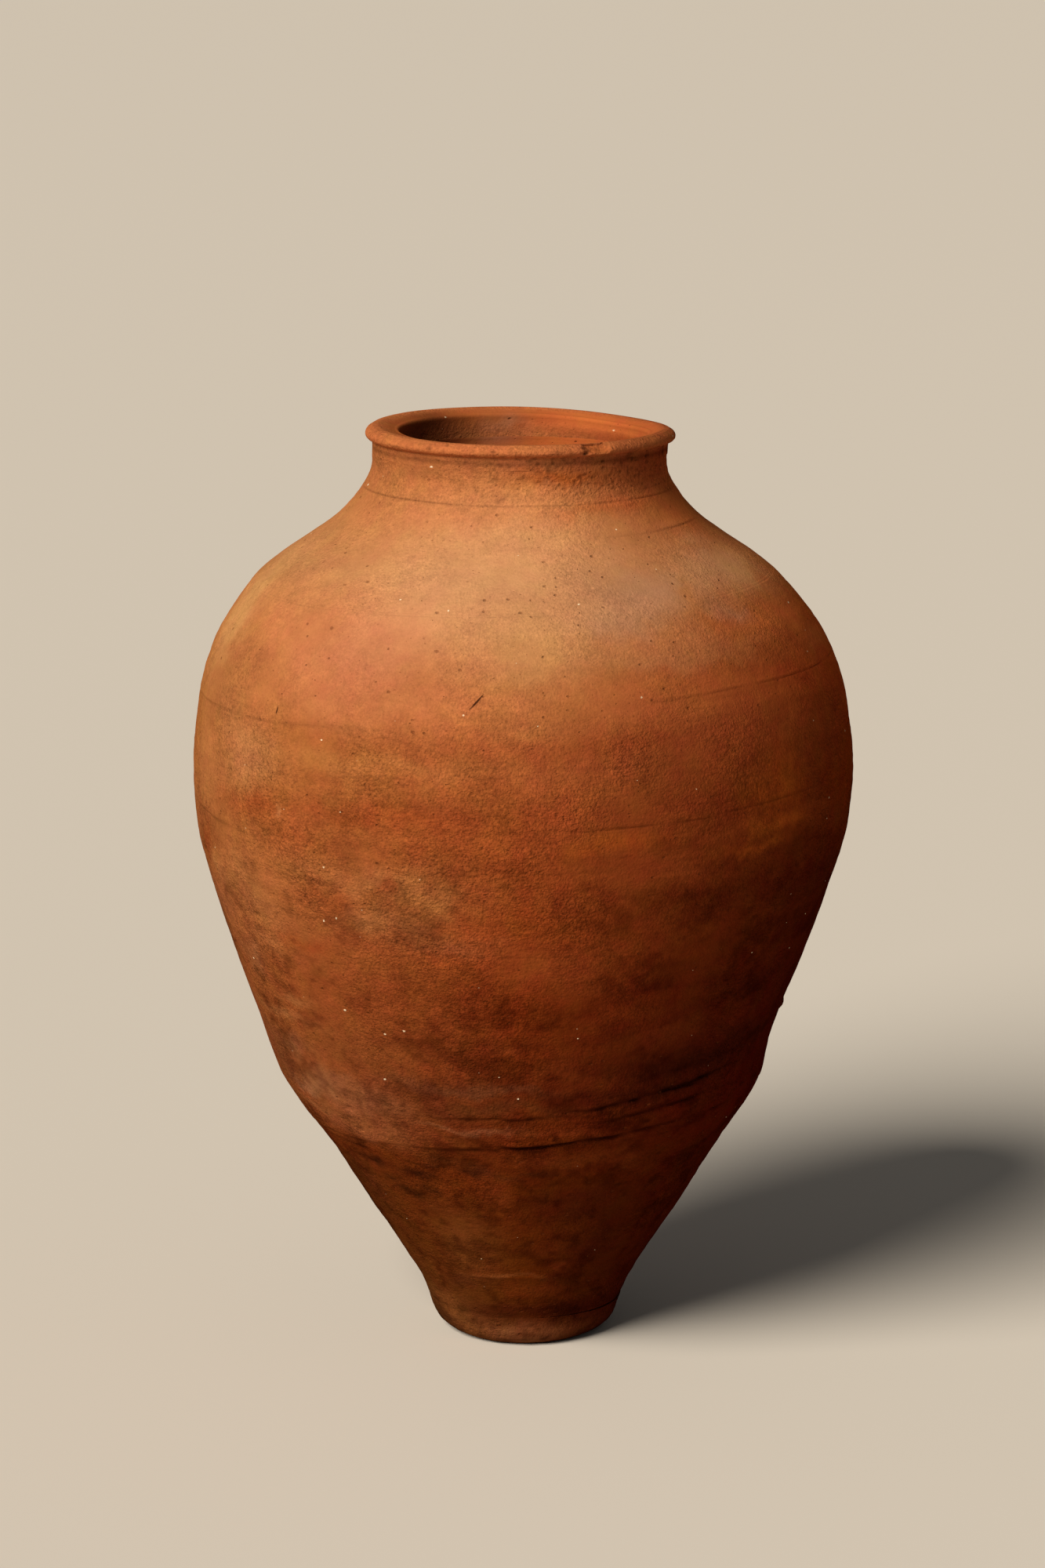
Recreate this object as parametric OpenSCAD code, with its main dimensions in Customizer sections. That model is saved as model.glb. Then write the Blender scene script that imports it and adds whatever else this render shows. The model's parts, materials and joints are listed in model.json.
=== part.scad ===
// Large storage jar of fired clay, built up from thrown drums luted together with slip.
// The axis is Z, the origin is at the middle of the base, and the jar stands on z = 0.

/* [Join heights] */
// Height of the join between the base disc and the foot coil
base_join = 27; // [24:1:32]
// Height of the join between the foot coil and the lower cone
foot_join = 68; // [58:1:80]
// Height of the join between the lower cone and the waist band
cone_join = 198; // [188:1:204]
// Height of the join between the waist band and the lower belly
band_join = 228; // [222:1:240]
// Height of the join between the lower belly and the middle belly
low_join = 366; // [350:1:380]
// Height of the join at the widest part of the belly
mid_join = 460; // [448:1:472]
// Height of the join between the upper belly and the lower shoulder
high_join = 548; // [536:1:556]
// Height of the join between the two shoulder drums
shoulder_join = 620; // [612:1:626]
// Height of the join between the shoulder and the neck collar
neck_join = 691; // [684:1:696]
// Height of the join between the neck collar and the rim
rim_join = 716; // [712:1:720]
// Height of the rim above its join
rim_h = 24; // [22:1:30]

/* [Outer radii at the joins] */
// Radius where the foot's rounded edge ends
foot_r = 77; // [72:0.5:82]
// Radius at the top of the foot coil
foot_top_r = 101.5; // [96:0.5:106]
// Radius at the top of the lower cone
cone_r = 184; // [178:0.5:188]
// Radius at the top of the waist band
band_r = 198.5; // [194:0.5:202]
// Radius at the top of the lower belly
low_r = 246; // [240:0.5:250]
// Radius at the widest part of the belly
belly_r = 263.5; // [258:0.5:270]
// Radius at the top of the upper belly
high_r = 251.5; // [246:0.5:256]
// Radius at the top of the lower shoulder
shoulder_r = 207; // [202:0.5:212]
// Radius where the neck collar starts
neck_base_r = 124; // [121:0.5:128]
// Radius of the neck under the rim
neck_r = 116.5; // [114:0.5:119]

/* [Outer radii halfway up the tall drums] */
// Radius halfway up the lower cone
cone_mid_r = 141; // [137:0.5:146]
// Radius halfway up the lower belly
low_mid_r = 222.5; // [218:0.5:228]
// Radius halfway up the middle belly
mid_mid_r = 258.5; // [254:0.5:261]
// Radius halfway up the upper belly
high_mid_r = 260.5; // [256:0.5:263]
// Radius halfway up the lower shoulder
shoulder_mid_r = 234; // [229:0.5:239]
// Radius halfway up the upper shoulder
neck_root_r = 158; // [153:0.5:163]

/* [Wall] */
// Wall thickness just above the base disc
foot_wall = 21; // [18:0.5:24]
// Wall thickness of the lower cone
cone_wall = 18; // [15:0.5:20]
// Wall thickness of the belly and the shoulder
belly_wall = 14; // [12:0.5:16]

/* [Mouth] */
// Radius of the round mouth
mouth_r = 98; // [94:0.5:100]
// Outer radius of the lip
rim_r = 122.5; // [121.5:0.5:126]
// Radius of the neck just under the lip
under_lip_r = 117.3; // [116.5:0.1:118.5]
// Height of the lip, from its underside to its top
lip_h = 15; // [12:0.5:18]
// Radius of the rounded bead along the edge of the lip
bead_r = 5; // [4:0.5:6]
// How far the flat of the rim falls from the bead to the mouth
ledge_fall = 4; // [2:0.5:5]

/* [Foot] */
// Radius of the flat that the jar stands on
stand_r = 62; // [56:0.5:65]
// Radius of the worn edge round that flat
worn_r = 71; // [67:0.5:74]
// Height of the worn edge
worn_h = 7; // [5:0.5:10]
// Height of the foot's rounded edge
foot_edge_h = 20; // [16:0.5:22]

/* [Joints] */
// Thickness of the slip in each join
slip_t = 1.5; // [1:0.1:2]
// Depth of the groove in the lower drum's edge
groove_d = 6; // [5:0.5:8]
// Half the width of the groove
groove_w = 3.5; // [3:0.1:4]
// How far the waist band laps out over the cone below it
band_lap = 3; // [2:0.5:4]

/* [Hidden] */
$fn = 128;

jar_h = rim_join + rim_h;
slip_half = slip_t / 2;
band_h = 8;
ring_steps = 6;
arc_steps = 6;
edge_r = 3;
bead_start = -70;

function halfway(a, b) = (a + b) / 2;

// Height and radius of each point that the outer curve passes through
stations = [
  [foot_edge_h, foot_r],
  [foot_join, foot_top_r],
  [halfway(foot_join, cone_join), cone_mid_r],
  [cone_join, cone_r],
  [band_join, band_r],
  [halfway(band_join, low_join), low_mid_r],
  [low_join, low_r],
  [halfway(low_join, mid_join), mid_mid_r],
  [mid_join, belly_r],
  [halfway(mid_join, high_join), high_mid_r],
  [high_join, high_r],
  [halfway(high_join, shoulder_join), shoulder_mid_r],
  [shoulder_join, shoulder_r],
  [halfway(shoulder_join, neck_join), neck_root_r],
  [neck_join, neck_base_r],
  [rim_join, neck_r]
];
last = len(stations) - 1;

// Slope of the chord from station i to the next
function chord(i) = (stations[i + 1][1] - stations[i][1]) / (stations[i + 1][0] - stations[i][0]);

// Slope of the curve at station i, weighted between the chords on its two sides
function slope_at(i) =
  i == 0 ? chord(0) :
  i == last ? chord(last - 1) :
  let (below = stations[i][0] - stations[i - 1][0])
  let (above = stations[i + 1][0] - stations[i][0])
  (chord(i - 1) * above + chord(i) * below) / (above + below);

// Number of the stretch that holds height z
function stretch(z, i = 0) = i >= last - 1 || z < stations[i + 1][0] ? i : stretch(z, i + 1);

// Outer radius at height z: a cubic curve through the stations
function outer_r(z) =
  let (i = stretch(z))
  let (h = stations[i + 1][0] - stations[i][0])
  let (t = (z - stations[i][0]) / h)
  stations[i][1] * (2 * t * t * t - 3 * t * t + 1)
  + stations[i + 1][1] * (3 * t * t - 2 * t * t * t)
  + slope_at(i) * h * (t * t * t - 2 * t * t + t)
  + slope_at(i + 1) * h * (t * t * t - t * t);

// Wall thickness at height z, measured square to the wall
wall_table = [
  [base_join, foot_wall],
  [band_join, cone_wall],
  [mid_join, belly_wall],
  [shoulder_join, belly_wall],
  [rim_join, neck_r - mouth_r]
];
function outer_slope(z) = (outer_r(z + 1) - outer_r(z - 1)) / 2;
function inner_r(z) =
  z >= rim_join - 1 ? mouth_r :
  outer_r(z) - lookup(z, wall_table) * sqrt(1 + outer_slope(z) * outer_slope(z));

// Middle of the wall at a join
function wall_mid(z) = halfway(outer_r(z), inner_r(z));

// Heights of the steps from z0 to z1
function steps(z0, z1) = [for (k = [0 : ring_steps]) z0 + (z1 - z0) * k / ring_steps];
function reversed(list) = [for (k = [len(list) - 1 : -1 : 0]) list[k]];
function arc(cx, cz, r, a0, a1) =
  [for (k = [0 : arc_steps]) let (a = a0 + (a1 - a0) * k / arc_steps) [cx + r * cos(a), cz + r * sin(a)]];

// Outer and inner faces of a drum, from z0 to z1
function outside(z0, z1) = [for (z = steps(z0, z1)) [outer_r(z), z]];
function inside(z0, z1) = [for (z = steps(z0, z1)) [inner_r(z), z]];

// Tongue under a drum that starts at the join z, from the inner side to the outer side
function tongue(z) =
  let (m = wall_mid(z), w = groove_w - slip_t, top = z + slip_half, bottom = top - groove_d)
  [[m - w, top], [m - w, bottom], [m + w, bottom], [m + w, top]];

// Groove in the top of a drum that ends at the join z, from the outer side to the inner side
function groove(z) =
  let (m = wall_mid(z), top = z - slip_half, bottom = top - groove_d)
  [[m + groove_w, top], [m + groove_w, bottom], [m - groove_w, bottom], [m - groove_w, top]];

// A drum from join z0 to join z1, with a tongue below and a groove above
module drum(z0, z1) {
  low = z0 + slip_half;
  high = z1 - slip_half;
  rotate_extrude()
    polygon(concat(tongue(z0), outside(low, high), groove(z1), reversed(inside(low, high))));
}

// The slip that fills a join: a flat ring that dips into the groove round the tongue
module slip(z) {
  low = z - slip_half;
  high = z + slip_half;
  rotate_extrude()
    polygon(concat(
      [[outer_r(low), low], [outer_r(high), high]],
      reversed(tongue(z)),
      [[inner_r(high), high], [inner_r(low), low]],
      reversed(groove(z))
    ));
}

module base_disc() {
  top = base_join - slip_half;
  color("#B5693F")
    rotate_extrude()
      polygon(concat(
        [[0, 0], [stand_r, 0], [worn_r, worn_h], [foot_r, foot_edge_h], [outer_r(top), top]],
        groove(base_join),
        [[inner_r(top), top], [0, top]]
      ));
}

module base_slip() {
  color("#8F5334") slip(base_join);
}

module foot_coil() {
  color("#8A4526") drum(base_join, foot_join);
}

module foot_slip() {
  color("#8F5334") slip(foot_join);
}

module lower_cone() {
  color("#7E3F22") drum(foot_join, cone_join);
}

module cone_slip() {
  color("#8F5334") slip(cone_join);
}

// The band is a coil pressed over the join, so its lower edge laps out past the cone
module waist_band() {
  low = cone_join + slip_half;
  high = band_join - slip_half;
  lap = [
    [outer_r(low), low],
    [outer_r(low) + band_lap, low + slip_t],
    [outer_r(low + band_h) + band_lap, low + band_h]
  ];
  color("#8E4A28")
    rotate_extrude()
      polygon(concat(
        tongue(cone_join), lap, outside(halfway(low, high), high),
        groove(band_join), reversed(inside(low, high))
      ));
}

module band_slip() {
  color("#8F5334") slip(band_join);
}

module lower_belly() {
  color("#9A5029") drum(band_join, low_join);
}

module lower_belly_slip() {
  color("#8F5334") slip(low_join);
}

module middle_belly() {
  color("#B05A2C") drum(low_join, mid_join);
}

module middle_belly_slip() {
  color("#8F5334") slip(mid_join);
}

module upper_belly() {
  color("#BF6632") drum(mid_join, high_join);
}

module upper_belly_slip() {
  color("#8F5334") slip(high_join);
}

module lower_shoulder() {
  color("#CC7841") drum(high_join, shoulder_join);
}

module shoulder_slip() {
  color("#8F5334") slip(shoulder_join);
}

module upper_shoulder() {
  color("#D2824A") drum(shoulder_join, neck_join);
}

module neck_slip() {
  color("#8F5334") slip(neck_join);
}

module neck_collar() {
  color("#C46F3B") drum(neck_join, rim_join);
}

module rim_slip() {
  color("#8F5334") slip(rim_join);
}

// The rim: a short neck, an overhanging bead, a flat that falls to the mouth, and a true bore
module rim_ring() {
  low = rim_join + slip_half;
  edge_z = jar_h - ledge_fall - edge_r;
  color("#C9743F")
    rotate_extrude()
      polygon(concat(
        tongue(rim_join),
        [[outer_r(low), low], [under_lip_r, jar_h - lip_h]],
        arc(rim_r - bead_r, jar_h - bead_r, bead_r, bead_start, 90),
        arc(mouth_r + edge_r, edge_z, edge_r, 90, 180),
        [[mouth_r, low]]
      ));
}

base_disc();
base_slip();
foot_coil();
foot_slip();
lower_cone();
cone_slip();
waist_band();
band_slip();
lower_belly();
lower_belly_slip();
middle_belly();
middle_belly_slip();
upper_belly();
upper_belly_slip();
lower_shoulder();
shoulder_slip();
upper_shoulder();
neck_slip();
neck_collar();
rim_slip();
rim_ring();
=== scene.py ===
# %% [markdown]
# # A large storage jar of fired clay
# This lesson builds the looks of a heavy terracotta jar: a small foot, a steep cone, a full belly,
# a short neck and a beaded rim. The jar was raised in drums, one on top of the other, so it is also
# made here drum by drum. All sizes are in metres, and the axis of the jar is Z.

# %% Load the frame
import json
import math
import bpy
import numpy as np
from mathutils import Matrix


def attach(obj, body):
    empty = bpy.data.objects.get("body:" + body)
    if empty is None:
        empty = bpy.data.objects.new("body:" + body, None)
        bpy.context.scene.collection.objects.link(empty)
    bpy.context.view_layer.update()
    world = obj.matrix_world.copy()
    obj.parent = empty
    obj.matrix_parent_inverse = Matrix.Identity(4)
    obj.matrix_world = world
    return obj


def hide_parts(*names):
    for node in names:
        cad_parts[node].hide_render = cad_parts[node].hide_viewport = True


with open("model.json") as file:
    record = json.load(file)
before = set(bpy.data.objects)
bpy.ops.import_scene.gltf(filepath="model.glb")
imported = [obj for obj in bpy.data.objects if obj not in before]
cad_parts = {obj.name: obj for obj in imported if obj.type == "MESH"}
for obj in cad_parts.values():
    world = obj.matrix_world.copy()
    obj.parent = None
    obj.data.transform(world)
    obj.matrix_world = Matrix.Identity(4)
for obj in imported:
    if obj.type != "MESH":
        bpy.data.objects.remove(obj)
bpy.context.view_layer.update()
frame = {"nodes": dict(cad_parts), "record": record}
print("the frame holds", len(frame["nodes"]), "nodes")

# %% [markdown]
# ## The shape of the wall
# A thrown jar is a shape of revolution with the marks of the hand on it. So the outline is one
# smooth curve through a few measured heights, and everything that isn't round is added to it later
# as relief. The whole jar shares one outline, because its drums were scraped flush with each other.

# %% Outline of the outside
mm = 0.001

# Height and radius in millimetres of the points that the outside passes through
OUTLINE = np.array([
    (20, 77), (35, 83), (50, 90.5), (68, 101), (98, 120), (133, 141.5), (166, 162), (198, 184),
    (214, 193), (231, 199.2), (262, 208.5), (297, 221.5), (366, 245.5), (413, 259), (460, 263.5),
    (504, 260.5), (548, 251.8), (584, 234.8), (604, 220.5), (620, 207), (636, 187.5), (650, 166.5),
    (664, 147), (678, 133), (690, 124.2), (697, 120.2), (704, 117.4), (712, 116.6), (722, 117.2),
]) * mm


def curve_through(points):
    """A function that follows a smooth curve through points of height and value."""
    at, value = points[:, 0], points[:, 1]
    step = np.diff(at)
    chord = np.diff(value) / step
    slope = np.empty_like(value)
    slope[1:-1] = (chord[:-1] * step[1:] + chord[1:] * step[:-1]) / (step[:-1] + step[1:])
    slope[0], slope[-1] = chord[0], chord[-1]

    def follow(x):
        x = np.asarray(x, float)
        i = np.clip(np.searchsorted(at, x) - 1, 0, len(step) - 1)
        t = (x - at[i]) / step[i]
        keep = (2 * t**3 - 3 * t**2 + 1) * value[i] + (3 * t**2 - 2 * t**3) * value[i + 1]
        lean = (t**3 - 2 * t**2 + t) * slope[i] + (t**3 - t**2) * slope[i + 1]
        return keep + lean * step[i]

    return follow


outer_radius = curve_through(OUTLINE)
print("the belly is", round(2 * float(outer_radius(0.46)), 3), "m across")

# %% [markdown]
# The wall is thick at the foot, where it carries the jar, and thinner in the belly. The thickness
# is measured square to the wall, so on a sloping wall the inside lies further in than on an
# upright one.

# %% Inside of the wall
MOUTH_RADIUS = 98 * mm
WALL = np.array([(27, 21), (228, 18), (460, 14), (620, 14), (716, 18.5)]) * mm


def inner_radius(z):
    """Radius of the inside at height z."""
    small = 1 * mm
    slope = (outer_radius(z + small) - outer_radius(z - small)) / (2 * small)
    wall = np.interp(z, WALL[:, 0], WALL[:, 1])
    return np.where(z > 0.7145, MOUTH_RADIUS, outer_radius(z) - wall * np.sqrt(1 + slope**2))


# %% [markdown]
# ## Joins
# The drums were set on each other by eye, so most joins rise a little towards one side of the jar.
# Each join is a height and a rise. The angle round the jar starts at the front and grows to the
# right.

# %% Heights of the joins
JOINS = {
    "base": (27, 1), "foot": (67, 2), "cone": (201, 17), "band": (228, 16), "low": (364, 12),
    "middle": (460, 16), "high": (547, 15), "shoulder": (620, 5), "neck": (691, -1), "rim": (716, 0),
}


def join_height(name, angle):
    """Height of a join at an angle round the jar."""
    level, rise = JOINS[name]
    return (level + rise * np.sin(angle)) * mm


# %% [markdown]
# ## A field of bumps
# Clay that was worked by hand is never quite smooth. A table of random numbers, read with smooth
# steps between its entries, gives soft bumps of any size. It is seeded, so the jar comes out the
# same each time.

# %% Soft random bumps
CELLS = 64
random_table = np.random.default_rng(7).random((CELLS, CELLS, CELLS)) * 2 - 1


def bumps(points, size, shift=0.0):
    """Soft random values from -1 to 1 at points, with bumps of the given size in metres."""
    p = points / np.asarray(size) + shift
    cell = np.floor(p).astype(int)
    t = p - cell
    t = t * t * (3 - 2 * t)
    total = np.zeros(len(points))
    for corner in np.ndindex(2, 2, 2):
        share = np.prod(np.where(corner, t, 1 - t), axis=1)
        i, j, k = ((cell + corner) % CELLS).T
        total += share * random_table[i, j, k]
    return total


def on_wall(angle, z, radius):
    """Points in space at an angle, a height and a radius."""
    x, y, z = np.broadcast_arrays(radius * np.sin(angle), -radius * np.cos(angle), z)
    return np.stack([x, y, z], axis=-1)


# %% [markdown]
# ## Marks in the outside
# The relief is how far the clay stands out from the smooth outline. It adds up the marks one by one:
# soft lumps, the rings left by fingers while the wheel turned, the joins, the lapped band at the
# waist, and the scrapes and pits of later life. Each mark has its real depth in millimetres. Each
# mark also says how dark it is: the clay in its grooves, gaps and pits is darkened with painted
# shade.

# %% Shapes of single marks
def near(distance, width):
    """1 on a line, falling to 0 within about twice the width."""
    return np.exp(-(distance / width) ** 2)


def between(x, low, high, soft):
    """1 where x is from low to high, with soft ends."""
    rise = np.clip((x - low) / soft, -20, 20)
    fall = np.clip((x - high) / soft, -20, 20)
    return 1 / (1 + np.exp(-rise)) / (1 + np.exp(fall))


def lap(above, height, length):
    """A layer of clay that ends in a blunt lower edge and thins out upwards over a length."""
    rise = 1 / (1 + np.exp(np.clip(-above / (0.45 * mm), -20, 20)))
    return height * rise * np.exp(-np.maximum(above, 0) / length)


# %% [markdown]
# A line is a stretch of a join or a scratch that still shows. It has its two ends as angles, its
# height at both ends, a depth, a width and a darkness. The long ones follow joins, and the short
# ones are cuts made by a pebble in the potter's sponge and by later handling.

# %% Lines that were pressed or cut
# First angle, height there, last angle, height there, depth, width, darkness of the painted shade in the
# groove
LINES = [
    (-86, 530, -50, 531, 0.5, 0.9, 0.40), (-52, 531, -30, 536, 0.3, 1.2, 0.20),
    (24, 557, 45, 561, 0.4, 0.9, 0.30), (43, 560.5, 84, 562.5, 0.7, 0.8, 0.30),
    (-78, 446, -52, 440, 0.5, 1.0, 0.45), (-30, 462, 15, 465.5, 0.3, 1.2, 0.15),
    (10, 465, 34, 467.5, 0.5, 1.0, 0.35), (36, 470, 62, 476, 0.5, 1.1, 0.35),
    (-12, 512, 40, 510, 0.25, 1.0, 0.12), (-25, 437, 12, 432, 0.3, 1.0, 0.15),
    (-16, 365, 4, 364, 0.3, 1.0, 0.20), (-4, 382, 6, 383, 0.3, 1.0, 0.12),
    (-84, 691.5, -12, 690.5, 0.35, 0.6, 0.45), (-14, 690.5, 82, 691.5, 0.45, 0.6, 0.50),
    (31, 667.2, 79, 668.4, 0.5, 0.45, 0.45), (52, 697, 66, 698, 0.3, 0.6, 0.30),
    (115, 556, 170, 545, 0.6, 1.0, 0.40), (-170, 472, -118, 449, 0.5, 1.0, 0.35),
    (120, 474, 158, 468, 0.5, 1.1, 0.35), (98, 691.5, 175, 690.5, 0.45, 0.6, 0.50),
    (-175, 690.5, -100, 691.5, 0.4, 0.6, 0.45), (-165, 604, -120, 598, 0.4, 0.8, 0.30),
]


def cut_lines(angle, z, rough):
    """Lift of the lines and the darkness of the painted shade in their grooves."""
    lift, dark = np.zeros_like(z), np.zeros_like(z)
    turn = np.degrees(angle)
    for first, first_z, last, last_z, depth, width, darkness in LINES:
        if first_z - 12 > z.max() / mm or first_z + 12 < z.min() / mm:
            continue
        height = np.interp(turn, [first, last], [first_z, last_z]) * mm
        there = between(turn, first, last, 2.0) * np.clip(0.75 + 0.8 * rough, 0.1, 1)
        lift -= depth * mm * there * near(z - height, width * mm)
        lift += 0.4 * depth * mm * there * near(z - height - 2.2 * width * mm, 1.5 * width * mm)
        # Painted shade: the clay in the groove is darkened.
        dark += darkness * there * near(z - height, width * mm)
    return lift, dark


# %% [markdown]
# At the waist a fat coil was pressed over the join between the cone and the belly. Its lower edge
# laps out over the cone and leaves a gap where it was never smoothed down. To the right of the
# front the clay also creased as it was pushed up, in three folds that rise to the right. The gaps
# and the clay below the lips are darkened with painted shade.

# %% The lapped band and its folds
# First angle, height there, last angle, height there, depth of the gap, strength of the lip
FOLDS = [
    (20, 221, 46, 232, 1.5, 1.4), (-19, 224, 9, 226.5, 0.9, 0.9), (15, 231.5, 40, 242.5, 2.0, 1.5),
    (37, 243, 54, 250, 1.6, 1.2), (27, 250, 41, 260, 0.7, 0.8), (-170, 238, -128, 229, 1.6, 1.3),
    (112, 236, 150, 228, 1.4, 1.2),
]


def waist_marks(angle, z, points, rough):
    """Lift of the band and its folds, and the painted shade in their gaps and below their lips."""
    turn = np.degrees(angle)
    gritty = bumps(points, (9 * mm, 9 * mm, 5 * mm), 25.0)
    above = z - join_height("cone", angle) + (1.6 * rough + 0.8 * gritty) * mm
    sharp = 0.15 + 0.85 * between(turn, -16, 24, 3) + 0.6 * between(turn, 27, 55, 3)
    sharp += 0.7 * between(turn, 100, 165, 8) + 0.6 * between(turn, -172, -140, 6)
    broken = np.clip(0.75 + rough + 0.6 * gritty, 0.1, 1.2)
    lift = lap(above, (0.9 + 1.5 * sharp * broken + 0.5 * rough) * mm, 15 * mm)
    lift -= sharp * broken * 1.7 * mm * near(above + 1.8 * mm, 1.7 * mm)
    # Painted shade: the gap under the lip and a soft band below it are darkened.
    dark = 0.85 * sharp * broken * near(above + 1.4 * mm, 1.9 * mm)
    dark += 0.2 * sharp * near(above + 5 * mm, 6 * mm)
    for first, first_z, last, last_z, depth, lip in FOLDS:
        line = z - np.interp(turn, [first, last], [first_z, last_z]) * mm + (1.2 * rough + 0.6 * gritty) * mm
        there = between(turn, first, last, 2.5) * np.clip(0.85 + 0.6 * rough + 0.4 * gritty, 0.3, 1.1)
        lift += there * (lap(line, lip * mm, 6 * mm) - depth * mm * near(line + 1.2 * mm, 1.6 * mm))
        # Painted shade in the gap of each fold and in a soft band below it.
        dark += there * (0.40 * depth * near(line + 1 * mm, 2.3 * mm) + 0.25 * near(line + 3 * mm, 6 * mm))
    return lift, dark


# %% [markdown]
# Single dents, lumps and pits were left by pebbles, knocks and salt. The largest is a knob of clay
# low on the right side that shows in the outline of the jar.

# %% Dents and lumps
# Angle, height, half width, half height and lift in millimetres
DENTS = [
    (75.5, 281, 4, 5, 3.0), (77, 273, 3, 3, -1.5), (-41, 233, 4, 2.5, -1.1), (-44, 218, 5, 2.2, -1.3),
    (-36, 308, 3, 2, 0.8), (-12, 172, 9, 4, -1.2), (-33, 162, 7, 5, -1.6), (-48, 166, 9, 4, -1.5),
    (-37, 138, 6, 5, -1.2), (-20, 176, 7, 4, -1.0), (9, 184, 8, 3, -0.8), (-3, 284, 4, 4, -0.8),
    (42, 466, 6, 5, 0.5), (-44, 466, 4, 4, 0.5), (15, 76, 5, 4, 0.5), (5, 676, 2.2, 1.2, -0.7),
    (148, 330, 12, 7, -1.6), (-140, 300, 8, 8, 1.4), (170, 512, 9, 4, -1.2), (-110, 590, 5, 4, -1.0),
    (100, 175, 9, 5, -1.4), (-95, 150, 7, 6, 1.3), (-155, 120, 9, 5, -1.3), (125, 90, 7, 4, 1.0),
]


def dents(angle, z, radius):
    """Lift of the single dents and lumps."""
    lift = np.zeros_like(z)
    for at, height, half_width, half_height, depth in DENTS:
        across = (angle - math.radians(at)) * radius / (half_width * mm)
        lift += depth * mm * np.exp(-across**2 - ((z - height * mm) / (half_height * mm)) ** 2)
    return lift


# %% [markdown]
# The neck was wiped with a wet rag while the clay was already stiff, which dragged its sand about.
# The skin there is full of small torn pits, mostly at the front and to the right.

# %% Torn skin of the neck
def torn_skin(angle, z, points):
    """How torn the skin of the neck is, from 0 to 1."""
    pits = bumps(points, (2.8 * mm, 2.8 * mm, 2.4 * mm), 19.0) + 0.6 * bumps(points, 9 * mm, 23.0)
    where = between(z, 0.694, 0.731, 0.004) * (0.25 + 0.75 * between(np.degrees(angle), -25, 95, 9))
    return np.clip(1.5 * pits - 0.30, 0, 1) * where


# %% Relief of the outside
def relief(angle, z, points):
    """How far the outside stands out from the smooth outline, and the painted shade in its marks."""
    radius = np.hypot(points[:, 0], points[:, 1])
    low_down = between(z, -0.2, 0.23, 0.03)
    rough = bumps(points, 22 * mm, 5.0)
    gritty = bumps(points, (9 * mm, 9 * mm, 5 * mm), 13.0)
    lift = 0.9 * mm * bumps(points, 95 * mm) * (1 + low_down)
    lift += 0.45 * mm * bumps(points, (40 * mm, 40 * mm, 22 * mm), 3.0) * (1 + low_down)
    turns = z / (16 * mm) + angle / (2 * math.pi) + 0.35 * bumps(points, 90 * mm, 8.0)
    strength = np.clip(bumps(points, (150 * mm, 150 * mm, 50 * mm), 9.0), 0, 1)
    lift += 0.28 * mm * np.sin(2 * math.pi * turns) * strength
    lift += 0.13 * mm * bumps(points, (110 * mm, 110 * mm, 3.4 * mm), 11.0)
    lift += (0.13 + 0.10 * low_down) * mm * gritty
    lift += 0.09 * mm * bumps(points, 3.8 * mm, 17.0)
    pitted = np.clip(gritty - 0.42, 0, 1) * between(z, 0.1, 0.26, 0.02)
    lift -= 2.2 * mm * pitted
    base = z - join_height("base", angle)
    foot = z - join_height("foot", angle)
    lift -= 0.45 * mm * near(base, 2.5 * mm) * np.clip(0.7 + 0.9 * rough, 0.1, 1)
    ridge = np.clip(0.3 + rough, 0, 1) * between(np.degrees(angle), -28, 18, 4)
    lift += 1.3 * mm * ridge * near(foot, 2.5 * mm)
    torn = torn_skin(angle, z, points)
    lift -= 0.6 * mm * torn
    # Painted shade: the clay just above the base join, in the pits low on the cone and in the torn pits of
    # the neck is darkened.
    dark = 0.25 * near(base - 3 * mm, 5 * mm) + 0.8 * pitted + 0.5 * torn
    for mark_lift, mark_dark in (cut_lines(angle, z, rough), waist_marks(angle, z, points, rough)):
        lift += mark_lift
        dark += mark_dark
    return lift + dents(angle, z, radius), np.clip(dark, 0, 1)


# %% [markdown]
# ## Colours of the fire and painted shade
# The clay is one clay, but the kiln coloured it. Where air reached it, it fired pale peach to
# orange. Where smoke lay against it, it stayed brown, and low down it is nearly black, partly from
# hearth soot and partly from painted shade of the lower jar. The stops at the very bottom are darker
# than those just above them, a painted contact shadow. These clouds are far larger than the grain
# of the clay, so they are painted onto the points of the mesh, and the grain is left to the
# material. The ground tones go by height, with one row of stops for the left, one for the front and
# one for the right, and the clouds are laid over them. The right row is darker partly as painted
# shade on the side away from the lamp.

# %% Ground tones
def linear(tone):
    """A hex colour as linear red, green and blue."""
    share = np.array([int(tone[k:k + 2], 16) for k in (0, 2, 4)]) / 255
    return np.where(share <= 0.04045, share / 12.92, ((share + 0.055) / 1.055) ** 2.4)


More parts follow.
